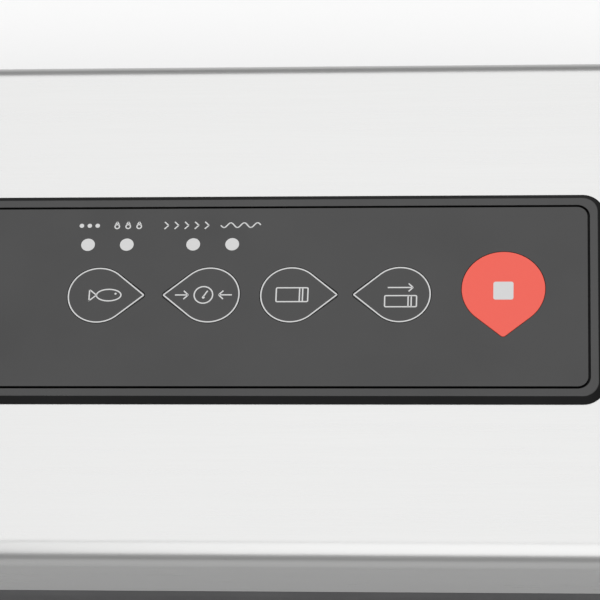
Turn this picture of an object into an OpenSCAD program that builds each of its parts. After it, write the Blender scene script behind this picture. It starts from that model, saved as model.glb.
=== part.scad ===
// Bag vacuum sealer: a base with pump, heater and vacuum channel under a hinged
// lid that carries the key panel. X runs right, Y to the back and Z up. The origin
// is on the worktop, under the middle of the machine. Sizes are in millimetres.

/* [Overall] */
// Width of the lid over its end caps
lid_w = 390; // [370:1:480]
// Depth of the lid
lid_d = 180; // [170:1:230]
// Height of the steel top above the worktop
top_z = 92; // [86:1:120]
// Height of the deck that the bag lies on
deck_z = 58; // [54:1:62]
// Gap that the soft seals hold open between the deck and the lid
lid_gap = 3; // [2.8:0.1:4]

/* [Lid] */
// Thickness of the steel sheet
sheet_t = 0.8; // [0.5:0.1:1.2]
// Outer bend radius of the steel sheet
bend_r = 7; // [4:0.5:9]
// Thickness of each end cap
end_cap_t = 8; // [6:0.5:12]
// Thickness of the lid frame's floor
lid_floor_t = 3; // [2.6:0.1:4]
// Height of the frame's rim under the steel skirt
rim_h = 4; // [3:0.5:6]
// Wall of the lid frame and its end caps
frame_wall = 2; // [1.5:0.1:3]
// Radius of the lid's corners seen from above
lid_corner_r = 6; // [3:0.5:7]

/* [Base] */
// Distance of the base's sides inside the lid's
side_inset = 5; // [2:0.5:10]
// Distance of the base's front inside the lid's
front_inset = 4; // [2:0.5:10]
// Distance of the base's back inside the lid's
rear_inset = 2; // [2:0.5:6]
// Wall of the base
wall = 2.5; // [2:0.1:3.5]
// Thickness of the deck
deck_t = 3; // [2.5:0.1:4]
// Radius of the base's corners seen from above
base_corner_r = 10; // [6:0.5:12]
// Thickness of the bottom cover
cover_t = 2.5; // [2.5:0.1:4]
// Height of the rubber feet
foot_h = 4; // [3:0.5:8]
// Radius of the rubber feet
foot_r = 9; // [6:0.5:12]

/* [Hinge] */
// Distance of the hinge axis in front of the lid's back
hinge_in = 10; // [9:0.5:14]
// Height of the hinge axis above the lid's underside
hinge_up = 1; // [0:0.1:1.5]
// Distance of each hinge from the middle
hinge_x = 120; // [90:1:140]
// Radius of the knuckles
knuckle_r = 5; // [5:0.1:6.5]
// Width of the lid's knuckle
knuckle_w = 20; // [14:0.5:26]
// Thickness of each base ear
ear_t = 6; // [4:0.5:8]
// Diameter of the hinge pin
hinge_pin_d = 4; // [3:0.1:5]

/* [Channel and seals] */
// Length of the vacuum channel
channel_l = 310; // [260:1:316]
// Width of the vacuum channel
channel_w = 30; // [24:1:36]
// Depth of the vacuum channel
channel_depth = 10; // [8:0.5:12]
// Distance of the channel's middle behind the base's front
channel_in = 51; // [48:1:60]
// Wall of the drip tray
tray_wall = 1.2; // [1:0.1:2]
// Land between the channel and the seal
land_w = 4; // [3:0.5:5]
// Width of the foam seals
gasket_w = 6; // [5:0.5:7]
// Depth of the grooves that hold the foam seals
groove_depth = 4; // [3:0.5:5]
// Length of the heater bar
heater_l = 320; // [260:1:324]
// Width of the heater bar
heater_w = 10; // [8:0.5:11]
// Distance of the heater bar behind the base's front
heater_in = 16; // [14:0.5:18]

/* [Latches] */
// Distance of each latch behind the base's front
latch_in = 22; // [21:0.5:26]
// Width of the hooks on the lid
hook_w = 14; // [8:0.5:16]
// Travel of the release buttons
latch_travel = 3.5; // [2.5:0.1:3.6]
// Width of the release buttons
release_w = 20; // [14:0.5:20]
// Height of the release buttons
release_h = 10; // [8:0.5:10]
// How far the release buttons stand out of the base
release_out = 4; // [3.6:0.1:5]

/* [Panel] */
// Width of the panel's bezel
panel_w = 300; // [290:1:340]
// Depth of the panel's bezel
panel_d = 74.8; // [70:0.1:100]
// Height of the panel above the steel
panel_rise = 2; // [1.5:0.1:3]
// Width of the slope round the bezel
slope_w = 2.2; // [1:0.1:3]
// Width of the flat rim round the fascia
bezel_rim_w = 2.5; // [2:0.1:4]
// Outer corner radius of the bezel
panel_corner_r = 7; // [5:0.5:12]
// Gap between the bezel's rim and the fascia
fascia_gap = 0.7; // [0.3:0.1:1]
// Thickness of the fascia
fascia_t = 1.6; // [1.2:0.1:2]

/* [Keys] */
// Radius of the round end of the four small keys
key_r = 10; // [8:0.1:11]
// Radius of the round end of the stop key
stop_r = 13.3; // [11:0.1:16]
// Radius of the keys' pointed end
key_tip_r = 1.2; // [0.6:0.1:2]
// Gap round each key
key_gap = 0.15; // [0.1:0.01:0.3]
// Travel of the keys
key_travel = 0.5; // [0.2:0.05:0.7]
// Diameter of the round indicators
light_d = 4.5; // [3:0.1:6]

/* [Pump and electrics] */
// Radius of the motor can
motor_r = 16; // [12:0.5:17]
// Length of the motor can
motor_l = 44; // [38:1:44]
// Side of the square pump head
pump_head_w = 34; // [30:1:36]
// Diameter of the motor shaft
shaft_d = 3.2; // [2:0.1:4]
// Outer radius of the hoses
hose_r = 3.5; // [3:0.1:4]
// Radius of the hose barbs
barb_r = 2; // [1.2:0.1:2.4]
// Width of the transformer core
core_w = 48; // [40:1:56]
// Length of the power board
board_l = 110; // [90:1:120]

/* [Hidden] */
$fn = 48;
over = 1; // how far a cut runs past the face it opens
slip = 0.1; // clearance of pieces that drop into a recess
run_gap = 0.3; // side clearance of moving pieces
pin_play = 0.04; // radial clearance of a shaft that turns
tuck = 0.002; // how far a straight side starts inside the round that it leaves

// Lid
lid_x = lid_w / 2;
lid_y = lid_d / 2;
lid_z = deck_z + lid_gap;
lid_floor_z = lid_z + lid_floor_t;
skirt_z = lid_z + rim_h;
frame_x = lid_x - end_cap_t;
frame_out = lid_y - sheet_t - 0.2;
frame_top = top_z - bend_r - 1;
rib_y = lid_y * 2 / 3;
clip_w = 12;
clip_y = rib_y - clip_w;
clip_h = 8;
clip_z = lid_floor_z + 4;

// Base
base_x = lid_x - side_inset;
base_front = front_inset - lid_y;
base_back = lid_y - rear_inset;
base_mid = (base_front + base_back) / 2;
base_depth = base_back - base_front;
floor_z = foot_h + cover_t;
slab_z = deck_z - 8;
slab_back = base_front + channel_in + channel_w / 2 + land_w + gasket_w + 3;
column_r = 4;
column_top = foot_h + 32;

// Hinge
hinge_y = lid_y - hinge_in;
hinge_z = lid_z + hinge_up;
lip_clear = 0.66;
lip_y = hinge_y - sqrt(pow(knuckle_r + lip_clear, 2) - pow(hinge_z - deck_z, 2));
slope_top = hinge_z - hinge_in;
slope_low = slope_top - (base_back - lip_y);
ear_in = knuckle_w / 2 + run_gap;
ear_out = ear_in + ear_t;
pin_r = hinge_pin_d / 2;

// Channel, seals and heater
channel_y = base_front + channel_in;
heater_y = base_front + heater_in;
tub_wall = 2.5;
channel_r = 4;
tub_z = deck_z - channel_depth - tub_wall;
seal_z = deck_z + lid_gap / 2;
seal_gap = 0.05;
gasket_l = channel_l + 2 * (land_w + gasket_w);
gasket_d = channel_w + 2 * (land_w + gasket_w);
gasket_r = 10;
gasket_seat_z = deck_z - groove_depth;
tub_l = channel_l + 2 * land_w - 2 * slip;
tub_w = channel_w + 2 * land_w - 2 * slip;
tub_r = gasket_r - gasket_w - slip;
lid_groove_z = lid_z + 2;
carrier_seat_z = deck_z - 5;
tape_t = 0.15;
strip_t = 0.2;
strip_w = 3;
carrier_top = seal_z - seal_gap - tape_t - strip_t;

// Latches
latch_y = base_front + latch_in;
slider_top = deck_z - 10;
slider_t = 4;
slider_z = slider_top - slider_t;
hook_x = frame_x - 11;
hook_t = 3;
hook_head = 2.5;
barb_w = 2;
barb_h = 1.4;
hook_z = slider_top + run_gap;
nose_t = 1;
nose_x = hook_x - run_gap;
bar_x1 = hook_x - barb_w - 1;
bar_x0 = bar_x1 - 5;
slab_x = bar_x0 + 2;
arm_in = hook_w / 2 + 1;
arm_out = arm_in + 3;
flange_x1 = base_x - wall - run_gap;
flange_t = 2.7;
flange_x0 = flange_x1 - flange_t;
flange_lap = 2;
release_z = slider_z + slider_t / 2;
spring_stop_t = 3;
spring_closed = 11.5; // length of the spring while its button is pressed
pedestal_x0 = bar_x0 - latch_travel - spring_closed - spring_stop_t;
spring_r = 1.7;
spring_wire = 0.6;
spring_turns = 7;

// Panel
panel_z = top_z + panel_rise;
fascia_z = panel_z - fascia_t;
rim_in_x = panel_w / 2 - slope_w - bezel_rim_w;
rim_in_y = panel_d / 2 - slope_w - bezel_rim_w;
rim_in_r = 4.1;
fascia_x = rim_in_x - fascia_gap;
fascia_y = rim_in_y - fascia_gap;
fascia_r = rim_in_r - fascia_gap;
ledge_w = 2.2;
opening_in = 4;
skirt_depth = 6;
board_z = top_z - 12;
board_t = 1.6;
pcb_x0 = -44;
pcb_x1 = 140;
pcb_y = 22.5;
post_r = 3;
post_xy = [[pcb_x0 + 5, -18.5], [pcb_x0 + 5, 18.5], [pcb_x1 - 4, -18.5], [pcb_x1 - 4, 18.5]];
boss_r = 3.5;
boss_x = [-139, 0, 139];
boss_y = rim_in_y - ledge_w - 2;
lug_x = [-110, -40, 40, 110];

// Keys: place, size, direction of the point, and length to the point over the radius
small_tip = 1.5;
stop_tip = 1.276;
food_at = [-12.4, 0.4];
pressure_at = [23.5, 0.4];
seal_at = [49.9, 0.4];
vacuum_at = [84.8, 0.4];
stop_at = [117.8, 2.4];
lights_x = [-17, -4.3, 17.4, 30.1];
lights_y = 18.8;
cap_flange = 0.8;
cap_flange_z = fascia_z - 0.2;
stem_r = 2;
switch_w = 6;
switch_h = 3.4;
plunger_r = 1.75;
plunger_top = board_z + board_t + switch_h + 1;
stem_z = plunger_top + key_travel + 0.05;

// Pump, hoses and electrics
pump_y = 30;
pump_z = floor_z + pump_head_w / 2 + 3.5;
motor_x1 = -66;
motor_x0 = motor_x1 - motor_l;
head_x1 = motor_x0;
head_x0 = head_x1 - 36;
head_cavity_r = pump_head_w / 2 - 4;
can_t = 1.2;
armature_r = motor_r - can_t - 3.5;
shaft_r = shaft_d / 2;
hub_r = 6;
hub_off = 1.5;
cradle_top = pump_z - 7;
hose_x = [head_x0 + 18, -25, 15];
device_front = pump_y - pump_head_w / 2;
hose_bend = 10;
hose_z = pump_z;
hose_end = device_front - 0.5;
barb_l = 9;
core_x0 = 72;
core_y = 32;
core_d = 28;
core_h = core_w * 5 / 6;
core_leg = core_w / 6;
winding_over = 7;
power_y0 = 44;
power_y1 = 80;
power_z = floor_z + 7.5;
inlet_x = 150;
inlet_z = foot_h + 21;
inlet_w = 23;
inlet_h = 14;
inlet_lobe = 4.3;
inlet_back = base_back + 1.6;

// ---- Shared shapes ----

// Box from its lowest to its highest corner
module block(low, high) {
    translate(low) cube(high - low);
}

// Flat outline in Y and Z, drawn out along X
module along_x(x0, x1) {
    translate([x0, 0, 0]) rotate([90, 0, 90]) linear_extrude(x1 - x0) children();
}

// Flat outline in X and Z, drawn out along Y
module along_y(y0, y1) {
    translate([0, y1, 0]) rotate([90, 0, 0]) linear_extrude(y1 - y0) children();
}

module both_sides() {
    children();
    mirror([1, 0, 0]) children();
}

module rod_x(x0, x1, y, z, r) {
    translate([x0, y, z]) rotate([0, 90, 0]) cylinder(h = x1 - x0, r = r);
}

module rod_y(y0, y1, x, z, r) {
    translate([x, y1, z]) rotate([90, 0, 0]) cylinder(h = y1 - y0, r = r);
}

module rounded_rect(w, d, r) {
    square([w - 2 * r, d], center = true);
    square([w, d - 2 * r], center = true);
    for (x = [-1, 1], y = [-1, 1])
        translate([x * (w / 2 - r), y * (d / 2 - r)]) circle(r);
}

module rounded_ring(w, d, r, t) {
    difference() {
        rounded_rect(w, d, r);
        rounded_rect(w - 2 * t, d - 2 * t, r - t);
    }
}

module slab(w, d, r, z0, z1) {
    translate([0, 0, z0]) linear_extrude(z1 - z0) rounded_rect(w, d, r);
}

// Round end at the origin, point towards +X
module teardrop(r, tip, grow) {
    d = r * tip - key_tip_r;
    big = r + grow;
    small = key_tip_r + grow;
    a = acos((big - small) / d);
    circle(big);
    translate([d, 0]) circle(small);
    tear_sides(big - tuck, small - tuck, d, a);
}

// Straight sides that run into both rounds of a teardrop
module tear_sides(big, small, d, a) {
    polygon([[big * cos(a), big * sin(a)], [d + small * cos(a), small * sin(a)],
        [d + small * cos(a), -small * sin(a)], [big * cos(a), -big * sin(a)]]);
}

// Screw that points up, with the underside of its head at z
module screw(z, head_r, head_h, shank_r, shank_l) {
    translate([0, 0, z - head_h]) cylinder(h = head_h, r = head_r);
    translate([0, 0, z - 0.01]) cylinder(h = shank_l, r = shank_r);
}

// ---- Base ----

// Side view of the base, drawn in by i, with the sloped back under the hinge
module base_side(i, z0, z1) {
    drop = i * (sqrt(2) - 1);
    polygon([[base_front + i, z0], [base_back - i, z0], [base_back - i, slope_low - drop],
        [lip_y - i, slope_top - drop], [lip_y - i, z1], [base_front + i, z1]]);
}

module base_block(i, z0, z1) {
    intersection() {
        along_x(i - base_x, base_x - i) base_side(i, z0, z1);
        translate([0, base_mid, 0])
            slab(2 * (base_x - i), base_depth - 2 * i, base_corner_r - i, z0, z1);
    }
}

// Screw columns: places beside the walls
column_xy = [[-base_x + 6, -15], [base_x - 6, -15], [-base_x + 6, 60], [base_x - 6, 60],
    [-60, base_front + 6], [60, base_front + 6], [-60, base_back - 6], [60, base_back - 6]];
cover_head_h = 1.5;
cover_screw_z = foot_h + cover_head_h + 0.1;

module base_housing() {
    color([0.16, 0.16, 0.17]) difference() {
        union() {
            difference() {
                base_block(0, foot_h, deck_z);
                base_block(wall, foot_h - over, deck_z - deck_t);
            }
            // thick part of the deck, round the channel and under the heater
            block([-slab_x, base_front + wall - 0.5, slab_z], [slab_x, slab_back, deck_z - 0.5]);
            hinge_ears();
            for (p = column_xy)
                translate([p[0], p[1], floor_z]) cylinder(h = column_top - floor_z, r = column_r);
            // pads that hold the latch sliders down
            both_sides() for (s = [-1, 1])
                block([bar_x0 - 10, latch_y + s * (arm_in + 1.5) - 1.5, slider_top + 0.2],
                    [slab_x, latch_y + s * (arm_in + 1.5) + 1.5, slab_z + 0.5]);
        }
        translate([0, channel_y, 0]) {
            slab(tub_l, tub_w, tub_r, slab_z - over, deck_z + over);
            slab(gasket_l + 2 * slip, gasket_d + 2 * slip, gasket_r + slip, gasket_seat_z,
                deck_z + over);
        }
        block([-heater_l / 2 - slip, heater_y - heater_w / 2 - slip, carrier_seat_z],
            [heater_l / 2 + slip, heater_y + heater_w / 2 + slip, deck_z + over]);
        both_sides() {
            // slot for the lid's hook, and window for the release button
            block([hook_x - barb_w - 0.8, latch_y - hook_w / 2 - 1.8, slab_z - over],
                [hook_x + hook_t + 0.8, latch_y + hook_w / 2 + 1, deck_z + over]);
            along_x(base_x - wall - over, base_x + over)
                translate([latch_y, release_z])
                    rounded_rect(release_w + 2 * run_gap, release_h + 2 * run_gap, 2 + run_gap);
            rod_x(hinge_x - ear_out - over, hinge_x + ear_out + over, hinge_y, hinge_z, pin_r);
        }
        for (p = column_xy)
            translate([p[0], p[1], floor_z - over]) cylinder(h = 16 + over, r = 1.5);
        block([inlet_x - inlet_w / 2, base_back - wall - over, inlet_z - inlet_h / 2],
            [inlet_x + inlet_w / 2, base_back + over, inlet_z + inlet_h / 2]);
    }
}

// Tub of the vacuum channel, welded into the deck inside the lower seal
module channel_tub() {
    color([0.16, 0.16, 0.17]) translate([0, channel_y, 0]) difference() {
        slab(tub_l, tub_w, tub_r, tub_z, deck_z);
        slab(channel_l, channel_w, channel_r, tub_z + tub_wall, deck_z + over);
        for (x = hose_x) translate([x, 0, tub_z - over])
            cylinder(h = tub_wall + 2 * over, r = barb_r);
    }
}

module hinge_ears() {
    both_sides() for (s = [-1, 1]) {
        x = hinge_x + s * (ear_in + ear_out) / 2;
        rod_x(x - ear_t / 2, x + ear_t / 2, hinge_y, hinge_z, knuckle_r);
        along_x(x - ear_t / 2, x + ear_t / 2)
            polygon([[lip_y - 6, deck_z - 1], [lip_y - 6, deck_z], [lip_y, deck_z],
                [hinge_y - knuckle_r * 0.7, hinge_z], [hinge_y, hinge_z],
                [hinge_y, hinge_z - knuckle_r], [lip_y, slope_top], [lip_y - 2, slope_top]]);
    }
}

module bottom_cover() {
    in = wall + run_gap;
    color([0.13, 0.13, 0.14]) difference() {
        union() {
            translate([0, base_mid, 0])
                slab(2 * (base_x - in), base_depth - 2 * in, base_corner_r - in, foot_h, floor_z);
            both_sides() latch_pedestal();
            for (x = [-1, 1], y = [power_y0 + 5, power_y1 - 5])
                translate([x * (board_l / 2 - 5), y, floor_z - 0.5])
                    cylinder(h = power_z - floor_z + 0.5, r = 3);
        }
        for (p = column_xy) translate([p[0], p[1], 0]) {
            cylinder(h = cover_screw_z, r = 3.2);
            cylinder(h = floor_z + over, r = 1.6);
        }
        for (p = foot_xy) translate([p[0], p[1], 0]) cylinder(h = floor_z + over, r = 2.5);
        // air slots
        for (i = [-5 : 5])
            block([i * 9 - 1.5, -8, foot_h - over], [i * 9 + 1.5, 12, floor_z + over]);
    }
}

// Table that carries the latch slider, with a stop for its spring
module latch_pedestal() {
    top = slider_z - 0.2;
    block([pedestal_x0, latch_y - arm_out - 1, top - 2], [bar_x1 + 2, latch_y + arm_out + 1, top]);
    for (x = [pedestal_x0 + 2, bar_x1 - 4])
        block([x, latch_y - arm_out - 1, floor_z - 0.5], [x + 4, latch_y + arm_out + 1, top - 1]);
    block([pedestal_x0, latch_y - 6, top - 1],
        [pedestal_x0 + spring_stop_t, latch_y + 6, slider_top + 1]);
}

foot_xy = [[-165, base_front + 26], [165, base_front + 26],
    [-165, base_back - 22], [165, base_back - 22]];

module foot(i) {
    color([0.08, 0.08, 0.08]) translate([foot_xy[i][0], foot_xy[i][1], 0]) {
        cylinder(h = foot_h, r = foot_r);
        cylinder(h = floor_z + 1, r = 2.5);
    }
}

module base_screws() {
    color([0.6, 0.6, 0.62]) for (p = column_xy)
        translate([p[0], p[1], 0]) screw(cover_screw_z, 3, cover_head_h, 1.5, 14);
}

module heater_carrier() {
    color([0.2, 0.2, 0.21]) block([-heater_l / 2, heater_y - heater_w / 2, carrier_seat_z],
        [heater_l / 2, heater_y + heater_w / 2, carrier_top]);
}

module heater_strip() {
    color([0.75, 0.74, 0.7])
        block([3 - heater_l / 2, heater_y - strip_w / 2, carrier_top],
            [heater_l / 2 - 3, heater_y + strip_w / 2, carrier_top + strip_t]);
}

module release_tape() {
    color([0.55, 0.4, 0.25])
        block([-heater_l / 2, heater_y - heater_w / 2, carrier_top + strip_t],
            [heater_l / 2, heater_y + heater_w / 2, carrier_top + strip_t + tape_t]);
}

module lower_gasket() {
    color([0.3, 0.3, 0.3]) translate([0, channel_y, gasket_seat_z])
        linear_extrude(seal_z - seal_gap - gasket_seat_z)
            rounded_ring(gasket_l, gasket_d, gasket_r, gasket_w);
}

module drip_tray() {
    tray_z = deck_z - channel_depth;
    color([0.7, 0.7, 0.7]) translate([0, channel_y, 0]) difference() {
        slab(channel_l - 2, channel_w - 2, 3, tray_z, deck_z - 1);
        slab(channel_l - 2 - 2 * tray_wall, channel_w - 2 - 2 * tray_wall, 3 - tray_wall,
            tray_z + tray_wall, deck_z);
        for (x = hose_x) translate([x, 0, tray_z - over]) cylinder(h = tray_wall + 2 * over, r = 4);
    }
}

module pump_motor() {
    color([0.7, 0.71, 0.73]) difference() {
        rod_x(motor_x0, motor_x1, pump_y, pump_z, motor_r);
        rod_x(motor_x0 + can_t, motor_x1 - can_t, pump_y, pump_z, motor_r - can_t);
        rod_x(motor_x0 - over, motor_x1 + over, pump_y, pump_z, shaft_r + pin_play);
    }
}

module pump_rotor() {
    color([0.6, 0.45, 0.3]) {
        rod_x(head_x0 + 8, motor_x1 + 4, pump_y, pump_z, shaft_r);
        rod_x(motor_x0 + 6, motor_x1 - 6, pump_y, pump_z, armature_r);
        rod_x(head_x0 + 12, head_x0 + 22, pump_y, pump_z + hub_off, hub_r);
    }
}

module pump_head() {
    h = pump_head_w / 2;
    color([0.25, 0.25, 0.26]) difference() {
        union() {
            along_x(head_x0 + 4, head_x1)
                translate([pump_y, pump_z]) rounded_rect(2 * h, 2 * h, 4);
            rod_y(device_front - 8, device_front + 1, hose_x[0], hose_z, barb_r);
        }
        rod_x(head_x0 + 6, head_x1 + over, pump_y, pump_z, head_cavity_r);
        rod_y(device_front - 9, pump_y, hose_x[0], hose_z, barb_r - 0.8);
    }
}

module pump_diaphragm() {
    h = pump_head_w / 2;
    color([0.1, 0.1, 0.1]) along_x(head_x0 + 2, head_x0 + 4)
        translate([pump_y, pump_z]) rounded_rect(2 * h, 2 * h, 4);
}

module pump_valve_cap() {
    h = pump_head_w / 2;
    color([0.3, 0.3, 0.32]) {
        along_x(head_x0 - 4, head_x0 + 2)
            translate([pump_y, pump_z]) rounded_rect(2 * h, 2 * h, 4);
        rod_x(head_x0 - 12, head_x0 - 3, pump_y, pump_z + 6, barb_r);
    }
}

module pump_cradle() {
    color([0.1, 0.1, 0.1]) difference() {
        block([motor_x0 + 8, pump_y - motor_r, floor_z], [motor_x1 - 8, pump_y + motor_r, cradle_top]);
        rod_x(motor_x0, motor_x1, pump_y, pump_z, motor_r);
    }
}

module channel_nozzles() {
    color([0.85, 0.85, 0.8]) for (x = hose_x) translate([x, channel_y, 0]) difference() {
        union() {
            translate([0, 0, tub_z - barb_l]) cylinder(h = barb_l + tub_wall, r = barb_r);
            translate([0, 0, tub_z - 1.5]) cylinder(h = 1.5, r = hose_r);
        }
        translate([0, 0, tub_z - barb_l - over])
            cylinder(h = barb_l + tub_wall + 2 * over, r = barb_r - 0.8);
    }
}

// Hose from a nozzle under the channel, down and back to a device
module hose(x) {
    top = tub_z - 1.5;
    turn_z = hose_z + hose_bend;
    color([0.9, 0.9, 0.88]) difference() {
        hose_line(x, top, turn_z, hose_end, hose_r, 0);
        hose_line(x, top, turn_z, hose_end, barb_r, over);
    }
}

module hose_line(x, top, turn_z, end, r, past) {
    translate([x, channel_y, turn_z]) cylinder(h = top - turn_z + past, r = r);
    translate([x, channel_y + hose_bend, turn_z]) rotate([0, -90, 0]) rotate([0, 0, 180])
        rotate_extrude(angle = 90) translate([hose_bend, 0]) circle(r);
    rod_y(channel_y + hose_bend, end + past, x, hose_z, r);
}

module vent_valve() {
    color([0.2, 0.35, 0.55]) {
        block([hose_x[1] - 11, device_front, floor_z],
            [hose_x[1] + 11, device_front + 26, hose_z + 12]);
        rod_y(device_front - 8, device_front + 1, hose_x[1], hose_z, barb_r);
    }
}

module vacuum_switch() {
    color([0.85, 0.85, 0.82]) {
        rod_y(device_front, device_front + 9, hose_x[2], hose_z, 15);
        rod_y(device_front + 8, device_front + 16, hose_x[2], hose_z, 9);
        rod_y(device_front - 8, device_front + 1, hose_x[2], hose_z, barb_r);
        block([hose_x[2] - 8, device_front + 2, floor_z], [hose_x[2] + 8, device_front + 7, hose_z]);
    }
}

module transformer_core() {
    x1 = core_x0 + core_w;
    color([0.4, 0.4, 0.42]) difference() {
        block([core_x0, core_y - core_d / 2, floor_z], [x1, core_y + core_d / 2, floor_z + core_h]);
        for (x = [core_x0 + core_leg, x1 - 2 * core_leg])
            block([x, core_y - core_d, floor_z + core_leg],
                [x + core_leg, core_y + core_d, floor_z + core_h - core_leg]);
    }
}

module transformer_winding() {
    z0 = floor_z + core_leg;
    z1 = floor_z + core_h - core_leg;
    out = core_d / 2 + winding_over;
    color([0.72, 0.42, 0.22]) difference() {
        block([core_x0 + core_leg, core_y - out, z0],
            [core_x0 + core_w - core_leg, core_y + out, z1]);
        block([core_x0 + 2 * core_leg, core_y - core_d / 2, z0 - over],
            [core_x0 + core_w - 2 * core_leg, core_y + core_d / 2, z1 + over]);
    }
}

module power_board() {
    color([0.1, 0.35, 0.2])
        block([-board_l / 2, power_y0, power_z], [board_l / 2, power_y1, power_z + board_t]);
}

module power_relay() {
    color([0.15, 0.3, 0.6]) translate([18, power_y0 + 10, power_z + board_t]) cube([19, 15.5, 15]);
}

module smoothing_capacitor() {
    color([0.1, 0.1, 0.2]) translate([-30, power_y0 + 18, power_z + board_t])
        cylinder(h = 20, r = 8);
}

module inlet_outline(grow) {
    for (s = [-1, 1]) translate([s * inlet_lobe, 0]) circle(4.2 + grow);
    square([2 * inlet_lobe, 7 + 2 * grow], center = true);
}

module mains_inlet() {
    color([0.05, 0.05, 0.05]) difference() {
        union() {
            block([inlet_x - inlet_w / 2, base_back - 22, inlet_z - inlet_h / 2],
                [inlet_x + inlet_w / 2, base_back + 0.1, inlet_z + inlet_h / 2]);
            block([inlet_x - inlet_w / 2 - 3, base_back, inlet_z - inlet_h / 2 - 2],
                [inlet_x + inlet_w / 2 + 3, inlet_back, inlet_z + inlet_h / 2 + 2]);
        }
        along_y(base_back - 13, inlet_back + over) translate([inlet_x, inlet_z]) inlet_outline(0);
        for (s = [-1, 1])
            rod_y(base_back - 22 - over, base_back, inlet_x + s * inlet_lobe, inlet_z, 1.2);
    }
}

module inlet_pins() {
    color([0.8, 0.68, 0.35]) for (s = [-1, 1])
        rod_y(base_back - 28, base_back - 3, inlet_x + s * inlet_lobe, inlet_z, 1.2);
}

module hinge_pins() {
    color([0.75, 0.75, 0.78]) both_sides()
        rod_x(hinge_x - ear_out, hinge_x + ear_out, hinge_y, hinge_z, pin_r);
}

// ---- Latches, drawn on the right-hand side ----

module latch_slider() {
    color([0.75, 0.75, 0.72]) {
        block([bar_x0, latch_y - arm_out, slider_z], [bar_x1, latch_y + arm_out, slider_top]);
        block([bar_x1 - 0.5, latch_y - hook_w / 2, slider_top - nose_t],
            [nose_x, latch_y + hook_w / 2, slider_top]);
        for (y = [latch_y - arm_out, latch_y + arm_in])
            block([bar_x1 - 0.5, y, slider_z], [flange_x0, y + arm_out - arm_in, slider_top]);
        block([flange_x0 - 1.5, latch_y - arm_out, slider_z],
            [flange_x0, latch_y + arm_out, slider_top]);
    }
}

module release_button() {
    color([0.3, 0.3, 0.31]) {
        along_x(flange_x0, flange_x1) translate([latch_y, release_z])
            rounded_rect(release_w + 2 * flange_lap, release_h + 2 * flange_lap, 3);
        along_x(flange_x1 - 0.5, base_x + release_out)
            translate([latch_y, release_z]) rounded_rect(release_w, release_h, 2);
    }
}

// Round wire wound along X between the spring stop and the slider
module latch_spring() {
    x0 = pedestal_x0 + spring_stop_t;
    steps = 12;
    sides = 6;
    n = spring_turns * steps;
    w = spring_wire / 2;
    run = bar_x0 - x0 - spring_wire;
    rings = [for (i = [0 : n], j = [0 : sides - 1])
        let (a = i * 360 / steps, b = j * 360 / sides, r = spring_r + w * cos(b))
            [x0 + w + run * i / n + w * sin(b), latch_y + r * cos(a), release_z + r * sin(a)]];
    walls = [for (i = [0 : n - 1], j = [0 : sides - 1], half = [0, 1])
        let (a = i * sides + j, b = i * sides + (j + 1) % sides)
            half == 0 ? [a, b, b + sides] : [a, b + sides, a + sides]];
    first = [for (j = [sides - 1 : -1 : 0]) j];
    last = [for (j = [0 : sides - 1]) n * sides + j];
    color([0.8, 0.8, 0.82]) polyhedron(rings, concat([first], walls, [last]), convexity = 10);
}

// ---- Lid ----

module lid_side(i) {
    y = lid_y - bend_r;
    translate([-y, 0]) square([2 * y, top_z - i]);
    translate([i - lid_y, 0]) square([2 * (lid_y - i), top_z - bend_r]);
    for (s = [-1, 1]) translate([s * y, top_z - bend_r]) circle(bend_r - i);
}

// The same outline cut off below z0
module lid_side_above(i, z0) {
    intersection() {
        lid_side(i);
        translate([-lid_y - over, z0]) square([lid_d + 2 * over, top_z]);
    }
}

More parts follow.
